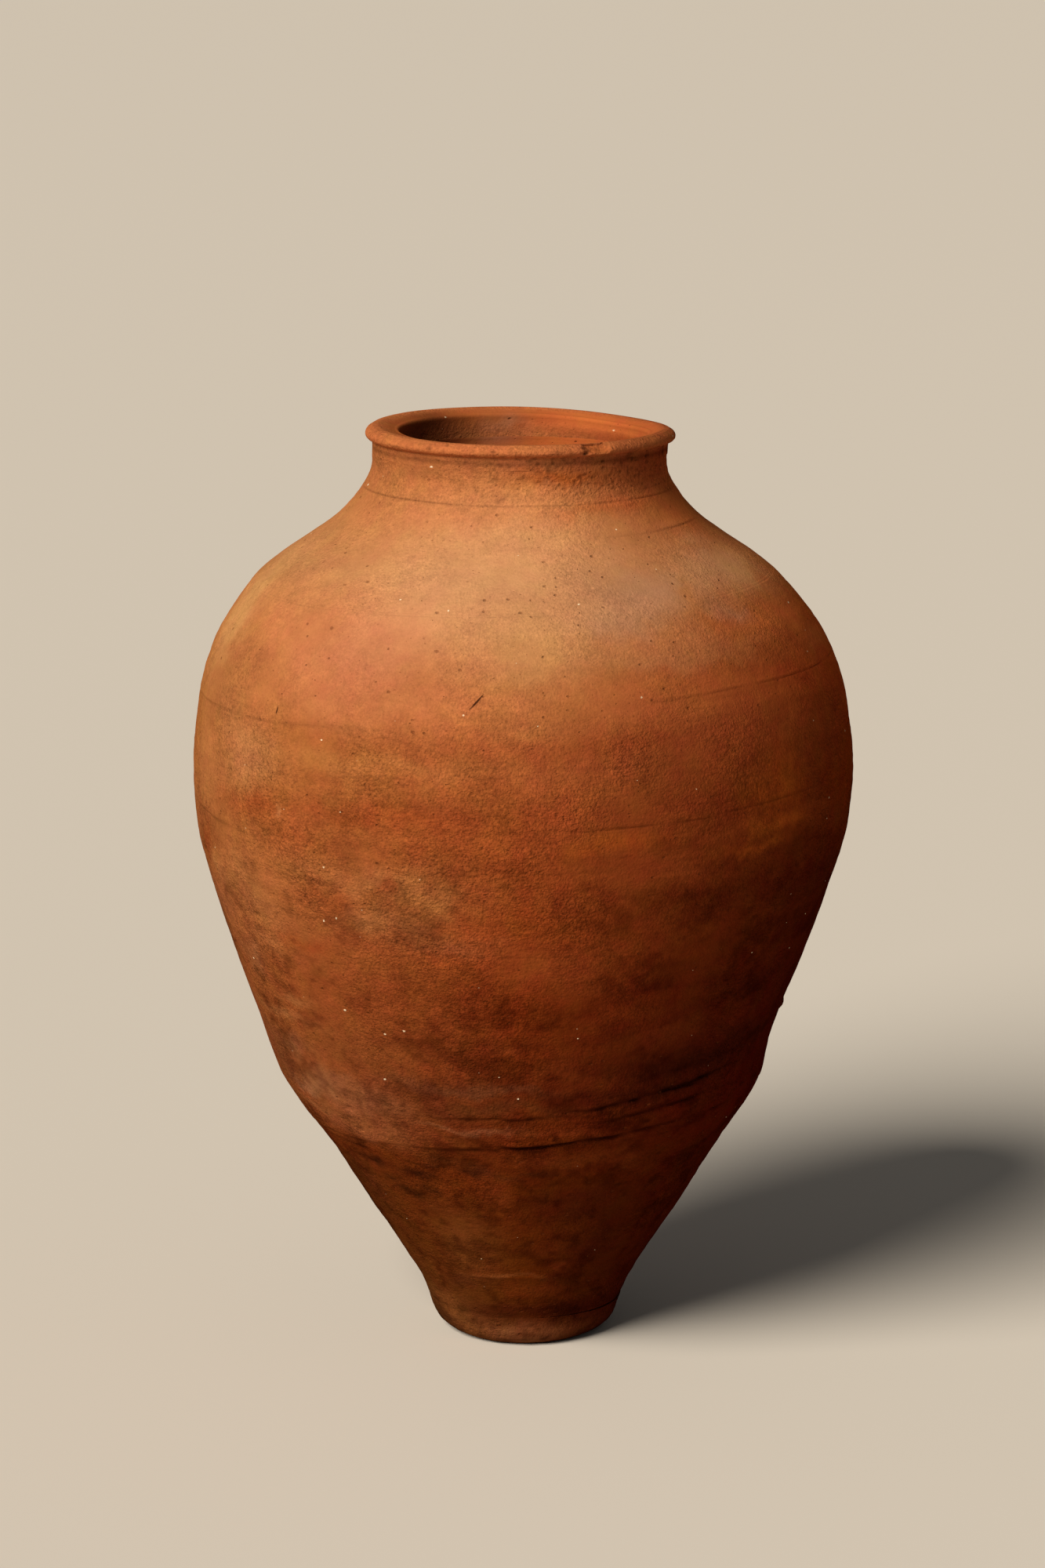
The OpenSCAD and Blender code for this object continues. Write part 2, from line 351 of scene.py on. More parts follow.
# Height and tone of the ground on each side of the jar; part of the right row's darkness is painted
# shade on the side away from the lamp, and the stops at 0 mm are a painted contact shadow
GROUND = {
    "left": [
        (0, "4a2c14"), (14, "603c1e"), (50, "582e12"), (130, "582a0e"), (180, "6a3012"), (205, "804422"),
        (330, "8c4e28"), (380, "965a32"), (530, "985e30"), (600, "aa6c3e"), (640, "ae784c"), (680, "aa6c40"),
        (722, "9a5c34"), (735, "b0683c"),
    ],
    "front": [
        (0, "4a2610"), (14, "64341a"), (28, "461c06"), (50, "582808"), (180, "62280a"), (230, "5c240c"),
        (330, "722e10"), (380, "823a16"), (480, "8c4622"), (530, "98522c"), (570, "a6663a"), (640, "ba865a"),
        (680, "bc8254"), (706, "b47040"), (722, "a8623a"), (735, "b46a3e"),
    ],
    "right": [
        (0, "360c04"), (14, "401206"), (50, "380a04"), (180, "380a02"), (205, "420a04"), (280, "380a04"),
        (380, "401004"), (430, "4e1604"), (480, "622004"), (530, "7a3012"), (570, "963c16"), (600, "a25020"),
        (640, "aa683c"), (680, "aa5c2c"), (706, "8c4020"), (722, "7a3014"), (735, "96502c"),
    ],
}


def by_height(stops, z):
    """The tone at height z, blended between stops of height and tone."""
    heights = [height * mm for height, _ in stops]
    tones = np.array([linear(tone) for _, tone in stops])
    return np.stack([np.interp(z, heights, tones[:, c]) for c in range(3)], axis=1)


def ground(angle, z):
    """The ground tone at an angle and a height."""
    left, front, right = (by_height(GROUND[side], z) for side in ("left", "front", "right"))
    to_right = np.sin(angle)[:, None]
    return front + np.clip(-to_right, 0, 1) * (left - front) + np.clip(to_right, 0, 1) * (right - front)


# %% [markdown]
# The clouds share a small set of tones, from clay that the clean fire turned cream to clay that is
# black with soot. A cloud is a soft blot with a middle, a half width in degrees round the jar, a
# half height in millimetres, a tone and a strength. Its edge is pushed about by the bump field,
# because smoke never leaves an even edge.

# %% Tones of the clouds
TONE = {
    # Clean fire; on the front of the shoulder some of these are partly painted highlight
    "cream": "c48d62", "peach": "bb8760", "straw": "b98957", "rose": "a87c60", "blush": "b97656",
    "salmon": "b06b45", "buff": "ab7148", "honey": "a66a3a", "orange": "b85e30", "rust": "a3562a",
    "amber": "9a4919",
    # Some smoke
    "sand": "9b633a", "tan": "8f6040", "umber": "925534", "clay": "845032", "earth": "764220",
    "brick": "8a411e", "chestnut": "7a3618", "russet": "6a2c12",
    # Soot; some of these tones also serve as painted shade low on the right and on the inner left wall
    "dust": "613822", "peat": "502a13", "smoke_and_shade": "472312", "oxblood": "581d08", "wine": "4b1808",
    "burnt": "3d1308", "soot": "361909", "ember": "300e05", "lampblack": "2f1508",
}

# %% Clouds on the outside
CLOUDS = [
    # Neck and shoulder; the cream, peach and straw clouds on the front of the shoulder are partly painted
    # highlight
    (-4, 650, 30, 46, "cream", 0.55), (-14, 628, 14, 34, "peach", 0.5), (2, 598, 12, 24, "straw", 0.5),
    (14, 712, 17, 6, "amber", 0.7), (58, 708, 22, 8, "brick", 0.5), (42, 689, 28, 7, "orange", 0.6),
    (66, 672, 16, 10, "orange", 0.5), (-50, 709, 30, 5, "sand", 0.5), (-20, 688, 26, 9, "salmon", 0.5),
    (31, 632, 15, 15, "rose", 0.6), (57, 643, 15, 15, "peach", 0.6), (66, 634, 10, 12, "straw", 0.5),
    (20, 616, 12, 11, "rose", 0.45), (45, 618, 3, 7, "tan", 0.7), (49, 610, 4, 6, "rose", 0.5),
    (41, 628, 3.4, 13, "honey", 0.7), (45, 602, 7, 12, "rust", 0.55), (65, 603, 13, 13, "orange", 0.7),
    (-33, 592, 16, 34, "blush", 0.6), (-48, 604, 12, 30, "salmon", 0.5), (-30, 560, 22, 22, "salmon", 0.6),
    (-77, 604, 9, 52, "straw", 0.7), (-62, 577, 8, 12, "umber", 0.6), (25, 588, 22, 10, "buff", 0.5),
    (50, 578, 26, 9, "brick", 0.6), (75, 572, 8, 14, "rust", 0.6), (35, 570, 10, 12, "rust", 0.4),
    # Belly
    (-64, 545, 9, 26, "sand", 0.65), (-57, 508, 9, 26, "buff", 0.7), (-71, 480, 7, 40, "sand", 0.5),
    (-2, 545, 7, 10, "honey", 0.4), (18, 528, 14, 13, "brick", 0.5), (47, 522, 10, 10, "brick", 0.4),
    (-24, 473, 20, 10, "brick", 0.6), (-28, 509, 22, 9, "honey", 0.6), (-52, 466, 9, 10, "brick", 0.7),
    (-10, 462, 16, 12, "brick", 0.4), (-7, 446, 12, 8, "brick", 0.5), (-42, 450, 6, 12, "brick", 0.4),
    (-44, 467, 1.2, 4, "buff", 0.55), (-27, 420, 14, 13, "sand", 0.6), (-17, 411, 6, 15, "honey", 0.6),
    (-27, 388, 8, 13, "sand", 0.7), (-24.5, 417, 1.6, 10, "brick", 0.5), (-36, 400, 5, 16, "brick", 0.5),
    (-56, 396, 8, 32, "sand", 0.6), (-73, 418, 5, 26, "brick", 0.75), (-67, 398, 3.4, 14, "sand", 0.75),
    (-71, 368, 5, 16, "umber", 0.6), (47, 492, 5.5, 24, "amber", 0.7), (33, 488, 8, 26, "chestnut", 0.6),
    (49, 453, 7, 9, "amber", 0.7), (58, 476, 3, 40, "chestnut", 0.5), (66, 505, 8, 28, "chestnut", 0.4),
    (66, 446, 9, 12, "russet", 0.4), (15, 453, 7, 9, "amber", 0.5), (8, 410, 12, 10, "brick", 0.5),
    (23, 425, 8, 9, "chestnut", 0.5), (41, 438, 8, 4, "amber", 0.6), (48, 402, 16, 16, "wine", 0.7),
    (68, 395, 10, 28, "burnt", 0.7), (24, 390, 12, 8, "russet", 0.6), (32, 408, 7, 4, "wine", 0.6),
    (2, 362, 15, 20, "brick", 0.65), (12, 350, 10, 26, "chestnut", 0.5), (21, 331, 5, 7, "wine", 0.7),
    (14, 324, 7, 6, "oxblood", 0.4), (28, 370, 8, 9, "russet", 0.4), (48, 338, 7, 12, "oxblood", 0.6),
    (-45, 362, 9, 7, "brick", 0.6), (-15, 374, 9, 9, "umber", 0.4),
    # Lower belly and waist
    (-61, 287, 14, 5, "sand", 0.6), (-54, 291, 2.5, 3, "sand", 0.6), (-40, 270, 14, 16, "earth", 0.5),
    (-52, 232, 13, 13, "tan", 0.6), (-36, 225, 12, 14, "clay", 0.6), (-62, 209, 16, 5, "sand", 0.5),
    (-42, 200, 15, 10, "umber", 0.6), (24, 205, 7, 5, "russet", 0.5), (-14, 264, 5, 4, "brick", 0.7),
    (-2, 286, 3, 6, "chestnut", 0.5), (30, 290, 6, 12, "russet", 0.5), (42, 275, 10, 18, "wine", 0.5),
    (20, 300, 6, 7, "wine", 0.6), (38, 308, 9, 5, "wine", 0.6), (48, 298, 6, 10, "oxblood", 0.5),
    (15, 242, 16, 6, "wine", 0.6), (-6, 233, 14, 6, "peat", 0.6), (30, 256, 8, 5, "burnt", 0.6),
    (50, 255, 10, 7, "burnt", 0.6), (6, 212, 16, 4, "russet", 0.5), (35, 222, 10, 5, "oxblood", 0.6),
    # The thin pale clay line at -12 degrees and 213 mm is partly painted highlight on the ridge of the lap.
    (-12, 213, 9, 2.5, "clay", 0.6), (28, 245, 16, 5, "ember", 0.7), (46, 257, 13, 5, "ember", 0.7),
    (20, 264, 14, 6, "wine", 0.6), (56, 270, 10, 9, "ember", 0.6), (-8, 248, 12, 4, "dust", 0.5),
    (-60, 262, 7, 8, "tan", 0.5), (-50, 306, 4, 5, "sand", 0.5), (-65, 332, 4, 13, "tan", 0.45),
    (-60, 228, 8, 6, "tan", 0.5), (-44, 244, 7, 5, "clay", 0.5), (-57, 352, 5, 9, "sand", 0.4),
    # Cone and foot
    (-46, 166, 5, 5, "lampblack", 0.9), (-33, 161, 4.5, 5, "lampblack", 0.9), (-36, 138, 4, 6, "soot", 0.7),
    (-27, 172, 5, 4, "soot", 0.7), (-41, 150, 4, 5, "lampblack", 0.8), (-50, 180, 6, 4, "soot", 0.6),
    (-14, 170, 5, 4, "soot", 0.7), (-30, 148, 3, 5, "soot", 0.6), (4, 172, 4, 3, "soot", 0.6),
    (14, 132, 12, 9, "burnt", 0.6), (24, 90, 12, 10, "burnt", 0.6), (-30, 60, 12, 8, "smoke_and_shade", 0.5),
    (-22, 180, 9, 6, "peat", 0.5), (-10, 174, 5, 7, "smoke_and_shade", 0.6), (6, 186, 12, 9, "chestnut", 0.6),
    (25, 184, 7, 9, "russet", 0.6), (-3, 168, 4, 3, "smoke_and_shade", 0.5), (16, 148, 16, 10, "burnt", 0.6),
    (-7, 152, 6, 16, "chestnut", 0.5), (-22, 100, 12, 34, "earth", 0.45), (8, 120, 10, 26, "wine", 0.4),
    (7, 96, 12, 7, "russet", 0.35), (-58, 140, 10, 30, "peat", 0.5), (-8, 66, 18, 1.8, "earth", 0.6),
    (13, 77, 4, 3, "chestnut", 0.5), (15, 69, 5, 5, "burnt", 0.6), (8, 54, 16, 8, "russet", 0.5),
    (-14, 34, 20, 7, "burnt", 0.6), (-52, 34, 12, 10, "earth", 0.6), (12, 32, 20, 5, "burnt", 0.6),
    (0, 11, 24, 7, "clay", 0.55), (-42, 12, 14, 12, "earth", 0.6), (60, 40, 14, 12, "wine", 0.4),
    (14, 10, 4, 3, "smoke_and_shade", 0.6),
    # Dark edge at the left, and soot low at the right that is partly painted shade on the side away from the
    # lamp
    (-80, 130, 17, 80, "soot", 0.7), (-82, 330, 11, 110, "dust", 0.55), (-66, 8, 26, 14, "soot", 0.6),
    (36, 262, 16, 9, "ember", 0.6), (24, 238, 12, 5, "burnt", 0.5), (52, 320, 10, 20, "burnt", 0.5),
    (33, 330, 5, 10, "wine", 0.5), (5, 262, 12, 8, "russet", 0.5), (-20, 250, 12, 6, "dust", 0.45),
    (30, 348, 8, 6, "wine", 0.5), (-70, 250, 8, 16, "dust", 0.5), (30, 110, 12, 30, "ember", 0.4),
    # Sides and back
    (112, 470, 26, 60, "amber", 0.7), (140, 345, 30, 60, "wine", 0.6), (172, 520, 30, 34, "honey", 0.6),
    (-150, 455, 26, 46, "brick", 0.7), (-118, 360, 20, 60, "chestnut", 0.6),
    (-128, 598, 26, 40, "salmon", 0.6), (150, 640, 34, 36, "straw", 0.6), (-170, 420, 14, 24, "sand", 0.5),
    (-96, 250, 12, 34, "russet", 0.6), (170, 250, 24, 30, "russet", 0.6), (-140, 130, 30, 40, "burnt", 0.6),
    (110, 120, 24, 40, "oxblood", 0.6), (95, 560, 12, 26, "rust", 0.6), (-175, 700, 30, 12, "rust", 0.5),
    (128, 560, 12, 12, "brick", 0.6),
]


def lay_clouds(colour, angle, z, points, clouds):
    """Lay soft blots over a colour."""
    turn = np.degrees(angle) + 4.0 * bumps(points, 36 * mm, 31.0) + 2.2 * bumps(points, 12 * mm, 37.0)
    turn += 1.2 * bumps(points, 5 * mm, 38.0)
    height = z / mm + 7.0 * bumps(points, 34 * mm, 33.0) + 4.0 * bumps(points, 12 * mm, 39.0)
    height += 2.2 * bumps(points, 5 * mm, 40.0)
    low, high = height.min(), height.max()
    for at, middle, half_width, half_height, tone, strength in clouds:
        if middle + 2.2 * half_height < low or middle - 2.2 * half_height > high:
            continue
        across = ((turn - at + 180) % 360 - 180) / half_width
        reach = across**2 + ((height - middle) / half_height) ** 2
        colour += (strength * np.exp(-reach))[:, None] * (linear(TONE[tone]) - colour)
    return colour


# %% [markdown]
# Over the clouds lie smaller blotches, down to half a centimetre, where smoke curled against the
# clay. They are strongest low on the jar, where it stood in the hearth, and die out on the shoulder.
# Soot is brown, so it takes more from green and blue than from red.

# %% Colour of the outside
SOOT_TINT = np.array([0.9, 1.06, 1.1])


def outside_colour(angle, z, points, dark):
    """The colour of the outside before its grain."""
    colour = lay_clouds(ground(angle, z), angle, z, points, CLOUDS)
    blotches = 0.55 * bumps(points, (34 * mm, 34 * mm, 24 * mm), 41.0)
    blotches += 0.45 * bumps(points, (13 * mm, 13 * mm, 9 * mm), 43.0)
    blotches += 0.35 * bumps(points, (5 * mm, 5 * mm, 4 * mm), 45.0)
    sooty = np.interp(z, [0, 0.34, 0.44, 0.56], [1, 0.9, 0.4, 0])
    shade = 1 + 0.22 * blotches * (0.45 + 0.55 * sooty)
    shade += 0.03 * bumps(points, (110 * mm, 110 * mm, 6 * mm), 47.0)
    shade *= 1 - 0.30 * sooty * np.clip(2.6 * (-blotches - 0.08), 0, 1)
    # The dark mask takes up to 72 percent off the colour; most of it is painted shade in grooves, gaps, pits
    # and under the bead of the rim.
    return colour * shade[:, None] ** SOOT_TINT * (1 - 0.72 * dark)[:, None]


def sandiness(z, points):
    """How much the sand of the clay shows on the outside."""
    worn = np.interp(z, [0, 0.2, 0.48, 0.58, 0.68, 0.7, 0.72], [1.1, 1.2, 1.2, 0.8, 0.7, 1.1, 0.9])
    return worn * np.clip(1 + 0.7 * bumps(points, 40 * mm, 61.0), 0.4, 1.5)


# %% [markdown]
# The inside was never sooted. It is orange near the mouth, where the flame went in, and brown
# further down, with a pale patch and a red one on the far wall under the rim. The dark cloud on the
# inner left wall under the mouth is painted shade, where the lamp from the left leaves that wall in
# shadow.

# %% Colour of the inside
INSIDE_CLOUDS = [
    (-171, 722, 9, 12, "rose", 0.6), (-176, 723, 4, 8, "chestnut", 0.8), (165, 700, 22, 40, "orange", 0.6),
    # The dark cloud at -125 degrees is painted shade on the inner left wall, which the lamp leaves in
    # shadow.
    (120, 715, 40, 40, "orange", 0.6), (-125, 712, 28, 40, "smoke_and_shade", 0.85), (-155, 690, 16, 20, "sand", 0.5),
]
INSIDE_GROUND = [(0, "4a2210"), (250, "5e2c14"), (500, "7c3f1e"), (660, "96502a"), (740, "aa5c30")]


def inside_colour(angle, z, points):
    """The colour of the inside before its grain."""
    colour = lay_clouds(by_height(INSIDE_GROUND, z), angle, z, points, INSIDE_CLOUDS)
    shade = 1 + 0.12 * bumps(points, (40 * mm, 40 * mm, 12 * mm), 51.0)
    shade += 0.10 * bumps(points, (90 * mm, 90 * mm, 4 * mm), 53.0)
    return colour * shade[:, None]


# %% [markdown]
# The jar also leans a little: the middle of each drum lies a few millimetres to one side of the
# axis, and the drums are slightly oval.

# %% Lean and oval
LEAN = curve_through(np.array([
    (0, 2), (60, 2.5), (150, 1.5), (200, 0.3), (250, -3.6), (300, -2.5), (380, -0.8), (470, 0.8),
    (540, -0.5), (610, -3), (680, -3), (740, -1.5),
]) * mm)


def place(angle, z, radius):
    """Points of the wall after its lean and its oval shape."""
    oval = 1 + 0.004 * np.cos(2 * angle + 6 * z) - 0.004 * np.cos(6 * z - math.pi)
    points = on_wall(angle, z, radius * oval)
    points[..., 0] += LEAN(z)
    return points


# %% [markdown]
# ## Building a drum
# Each drum is one closed solid: its outside, its inside, and the two edges where it meets its
# neighbours. A grid of points is laid over the outside and the inside, and the rings of points are
# joined up by quads. Rows run along the sloping joins, so the edges of the drums follow them. The
# colour of the fire, with its painted shade and highlight, and the sandiness go along as attributes
# of the points.

# %% Grid helpers
def ring_mesh(name, rows):
    """A closed band from rows of points, colours and sandiness, each row a ring round the jar."""
    count, columns = len(rows), len(rows[0][0])
    points = np.concatenate([row[0] for row in rows])
    colours = np.concatenate([row[1] for row in rows])
    sand = np.concatenate([row[2] for row in rows])
    row, column = np.meshgrid(np.arange(count), np.arange(columns), indexing="ij")
    next_row, next_column = (row + 1) % count, (column + 1) % columns
    corners = [(row, column), (row, next_column), (next_row, next_column), (next_row, column)]
    quads = np.stack([(r * columns + c).ravel() for r, c in corners], axis=1)
    mesh = bpy.data.meshes.new(name)
    mesh.from_pydata(points.tolist(), [], quads.tolist())
    paint = mesh.attributes.new("fire_colour_and_painted_light", "FLOAT_VECTOR", "POINT")
    paint.data.foreach_set("vector", colours.astype(np.float32).ravel())
    grain = mesh.attributes.new("sandiness", "FLOAT", "POINT")
    grain.data.foreach_set("value", sand.astype(np.float32))
    mesh.update()
    piece = bpy.data.objects.new(name, mesh)
    bpy.context.scene.collection.objects.link(piece)
    return piece


def smooth(piece, crease=50):
    """Smooth shading, except across edges sharper than the crease angle in degrees."""
    piece.data.shade_smooth()
    piece.data.set_sharp_from_angle(angle=math.radians(crease))


# %% A drum of the wall
INSIDE_ROWS = 12
INSIDE_SAND = 0.2


def wall_rows(below, above, gap, columns, rows, closer):
    """Rows round the cross-section of the wall between two joins, with closer rows low or high."""
    angle = np.linspace(-math.pi, math.pi, columns, endpoint=False)
    low, high = join_height(below, angle) + gap, join_height(above, angle) - gap
    loop = []
    even = np.linspace(0, 1, rows)
    for share in even**closer if closer >= 1 else 1 - (1 - even) ** (1 / closer):
        z = low * (1 - share) + high * share
        radius = outer_radius(z)
        points = on_wall(angle, z, radius)
        lift, dark = relief(angle, z, points)
        colour = outside_colour(angle, z, points, dark)
        loop.append((place(angle, z, radius + lift), colour, sandiness(z, points)))
    for share in np.linspace(1, 0, INSIDE_ROWS):
        z = low * (1 - share) + high * share
        radius = inner_radius(z)
        points = on_wall(angle, z, radius)
        lift = 0.8 * mm * np.sin(2 * math.pi * (z / (15 * mm) + angle / (2 * math.pi)))
        lift += 1.2 * mm * bumps(points, 60 * mm, 21.0)
        lift *= np.clip((716 * mm - z) / (14 * mm), 0, 1)
        colour = inside_colour(angle, z, points)
        loop.append((place(angle, z, radius + lift), colour, np.full(len(z), INSIDE_SAND)))
    return loop


# %% [markdown]
# The number of columns and rows of each drum is chosen so that a face is about 1.5 mm across, which
# is fine enough for finger marks. Rows are closer together next to the waist, where the folds are.

# %% The nine drums
SLIP = 1.6 * mm
DRUMS = [
    ("foot_coil", "base", "foot", 720, 38, 1), ("lower_cone", "foot", "cone", 840, 100, 0.75),
    ("waist_band", "cone", "band", 1200, 34, 1), ("lower_belly", "band", "low", 960, 92, 1.3),
    ("middle_belly", "low", "middle", 1080, 76, 1), ("upper_belly", "middle", "high", 1080, 72, 1),
    ("lower_shoulder", "high", "shoulder", 1080, 70, 1),
    ("upper_shoulder", "shoulder", "neck", 1000, 86, 1), ("neck_collar", "neck", "rim", 900, 32, 1),
]
pieces = {}
for name, below, above, columns, rows, closer in DRUMS:
    pieces[name] = ring_mesh(name + "_clay", wall_rows(below, above, SLIP / 2, columns, rows, closer))
    print(name, len(pieces[name].data.polygons), "faces")

# %% [markdown]
# ## Slip in the joins
# Before a drum was set on the one below, both edges were scored and wetted with slip, a runny clay.
# It fired into a thin ring between the drums, which is where the joins still show.

# %% Slip rings
SLIP_RINGS = {
    "base_slip": "base", "foot_slip": "foot", "cone_slip": "cone", "band_slip": "band",
    "lower_belly_slip": "low", "middle_belly_slip": "middle", "upper_belly_slip": "high",
    "shoulder_slip": "shoulder", "neck_slip": "neck", "rim_slip": "rim",
}
for name, join in SLIP_RINGS.items():
    pieces[name] = ring_mesh(name + "_clay", wall_rows(join, join, -SLIP / 2, 1080, 4, 1))
print(len(SLIP_RINGS), "slip rings")

# %% [markdown]
# ## The rim
# The rim was turned last, with a rag over the edge. Its cross-section goes up the neck, out under
# the lip, round the bead, back over the flat that falls gently to the mouth, and down the bore. The
# rim sagged a little at the back right while it dried, the mouth is a little off centre, and a knock
# took a chip out of the front right of the lip.

# %% Cross-section of the rim
def arc(centre_r, centre_z, radius, first, last, count):
    """Points of an arc, with its angles in degrees from level."""
    turn = np.radians(np.linspace(first, last, count))
    return np.stack([centre_r + radius * np.cos(turn), centre_z + radius * np.sin(turn)], axis=1)


def evenly(path, count):
    """The same path with evenly spaced points."""
    length = np.concatenate([[0], np.cumsum(np.hypot(*np.diff(path, axis=0).T))])
    at = np.linspace(0, length[-1], count)
    return np.stack([np.interp(at, length, path[:, k]) for k in (0, 1)], axis=1)


JAR_TOP = 740 * mm
BEAD = 5.6 * mm
rim_outside = np.concatenate([
    [(116.8 * mm, 716.8 * mm), (116.9 * mm, 722 * mm), (117.2 * mm, 727 * mm)],
    arc(122.6 * mm - BEAD, JAR_TOP - 1.25 * BEAD, BEAD, -50, 60, 14),
    [(117 * mm, 739.6 * mm), (113 * mm, 739.9 * mm), (106 * mm, 738 * mm)],
    arc(MOUTH_RADIUS + 3 * mm, JAR_TOP - 6.5 * mm, 3 * mm, 80, 180, 8),
    [(MOUTH_RADIUS, 716.8 * mm)],
])

# %% Rim
rim_columns = 1100
angle = np.linspace(-math.pi, math.pi, rim_columns, endpoint=False)
turn = np.degrees(angle)
rim_rows = []
for k, (radius, z) in enumerate(evenly(rim_outside, 86)):
    points = on_wall(angle, z, radius)
    gritty = bumps(points, (7 * mm, 7 * mm, 3 * mm), 15.0)
    edge = min(1.0, k / 20, (85 - k) / 20)
    inner = between(radius, 0, 0.109, 0.002) * edge
    lift = (0.13 * gritty + 0.1 * bumps(points, 3.6 * mm, 4.0)) * (1 - inner) * mm
    lift += 0.4 * mm * bumps(points, 40 * mm, 2.0)
    torn = torn_skin(angle, np.full_like(angle, z), points)
    lift -= 0.5 * mm * torn
    ragged = bumps(points, 4 * mm, 6.0) + 0.6 * gritty
    broken = between(turn + 1.2 * ragged, 24, 33.5, 0.5) * between(radius, 0.1155, 1, 0.0006)
    broken *= between(z + 0.9 * mm * ragged, 0.7305, 1, 0.0006)
    lift -= broken * (3.6 + 1.0 * ragged) * mm
    lift *= min(1.0, (85 - k) / 8)
    height = z + 0.5 * mm * bumps(points, 70 * mm, 6.0) * edge
    height -= 4.2 * mm * near(2 * np.sin(angle / 2 - 1.06), 0.8) * between(z, 0.727, 0.8, 0.002)
    height -= 3.4 * mm * (0.5 + 0.5 * np.cos(angle)) ** 2 * between(z, 0.732, 0.8, 0.002)
    height -= 2.2 * mm * broken * between(z, 0.734, 0.8, 0.001)
    spot = place(angle, height, radius + lift)
    spot[:, 0] += 2.5 * mm * inner
    # Painted shadow: the chip is darkened, most of all along its left wall.
    dark = broken * (0.1 + 0.5 * ragged + 0.9 * near(turn + 1.2 * ragged - 24.5, 1.5))
    # Painted shade: a band on the neck just under the bead is darkened, and the torn pits are darkened too.
    dark += 0.5 * near(z - 722 * mm, 2.2 * mm) * (radius > 0.116) + 0.5 * torn
    dark = np.clip(dark + 1.2 * np.clip(gritty - 0.5, 0, 1), 0, 1)
    skin = outside_colour(angle, np.full_like(angle, z), points, dark)
    skin += (0.6 * broken * (1 - dark))[:, None] * (linear("9c5228") - skin)
    colour = skin + inner * (inside_colour(angle, np.full_like(angle, z), points) - skin)
    sand = sandiness(np.full_like(angle, z), points)
    rim_rows.append((spot, colour, sand + inner * (INSIDE_SAND - sand)))
pieces["rim_ring"] = ring_mesh("rim_ring_clay", rim_rows)
print("rim", len(pieces["rim_ring"].data.polygons), "faces")

# %% [markdown]
# ## The base disc
# The jar was begun on a thick slab. Its edge has been rounded and bruised by standing and turning
# on hard floors for a lifetime. The underside is flat, and the floor of the jar is its top.

# %% Base disc
base_outside = np.concatenate([
    [(0.5 * mm, 0), (30 * mm, 0), (54 * mm, 0), (61 * mm, 0.5 * mm)],
    [(66 * mm, 3 * mm), (70.5 * mm, 7 * mm), (74 * mm, 12 * mm), (76.2 * mm, 17 * mm)],
    [(77.3 * mm, 20 * mm), (79.3 * mm, 26 * mm)],
    [(57 * mm, 26.2 * mm), (28 * mm, 26 * mm), (0.5 * mm, 26 * mm)],
])
angle = np.linspace(-math.pi, math.pi, 640, endpoint=False)
base_rows = []
for radius, z in evenly(base_outside, 140):
    points = on_wall(angle, z, radius)
    side = between(radius, 0.062, 0.2, 0.002) * between(z, -1, 0.022, 0.002)
    worn = bumps(points, 7 * mm, 9.0)
    lift = side * (1.4 * bumps(points, 28 * mm, 8.0) + 0.5 * worn + 0.2 * bumps(points, 3.5 * mm, 7.0)) * mm
    wall_lift, wall_dark = relief(angle, np.full_like(angle, z), points)
    like_wall = between(z, 0.016, 0.0262, 0.002) * between(radius, 0.072, 0.2, 0.001)
    lift = lift + like_wall * (wall_lift - lift)
    lift += 4 * mm * near(angle, 0.6) * between(z, -1, 0.008, 0.002) * between(radius, 0.055, 0.2, 0.003)
    # Painted contact shadow: the clay within a few millimetres of the floor is darkened; the worn spots are
    # darkened too.
    dark = np.clip(0.9 * np.clip(worn - 0.3, 0, 1) + 0.35 * near(z, 3 * mm), 0, 1)
    colour = outside_colour(angle, np.full_like(angle, z), points, dark)
    sand = sandiness(np.full_like(angle, z), points)
    base_rows.append((place(angle, z + 0 * angle, radius + lift), colour, sand))
pieces["base_disc"] = ring_mesh("base_disc_clay", base_rows)
print("base", len(pieces["base_disc"].data.polygons), "faces")

# %% [markdown]
# ## The grain of the clay
# Coarse red clay with sand in it fires to a dry, matt skin that scatters light evenly. Its colour
# shifts a little from grain to grain, sand stands proud of it, lime burns to white specks, and iron
# to dark ones. All of that is made by noise and cell patterns measured in millimetres, on the
# coordinates of the object, so it runs through the whole wall without a seam.

# %% A helper for nodes
def add(tree, kind, sockets=None, **settings):
    """Add a node, with its settings, and give its sockets values or links from other nodes."""
    node = tree.nodes.new("ShaderNode" + kind)
    for name, value in settings.items():
        setattr(node, name, value)
    for name, value in (sockets or {}).items():
        if isinstance(value, bpy.types.NodeSocket):
            tree.links.new(value, node.inputs[name])
        else:
            node.inputs[name].default_value = value
    return node


# %% [markdown]
# The variation of the colour is a sum of noises. Each has the size of its blots, how flat they are
# lying, and how much they change the brightness. A noise stays near its middle, so the numbers are
# large. The sand itself is under a millimetre, too fine to show, so it is drawn at 1.5 to 2.6 mm.

# %% Noises of the colour and the surface
# Size in millimetres, how many times flatter than wide, change in brightness, detail
GRAIN = [
    (26, 1.3, 0.45, 6), (8, 1.2, 0.50, 4), (2.6, 1.0, 0.65, 2), (1.5, 1.0, 0.50, 1), (60, 24, 0.10, 2),
]
# Size in millimetres, how many times flatter than wide, height in millimetres, detail
SKIN = [(9, 1.4, 0.8, 3), (3.4, 1.2, 1.0, 2), (1.9, 1.0, 1.0, 2), (44, 26, 0.2, 2)]


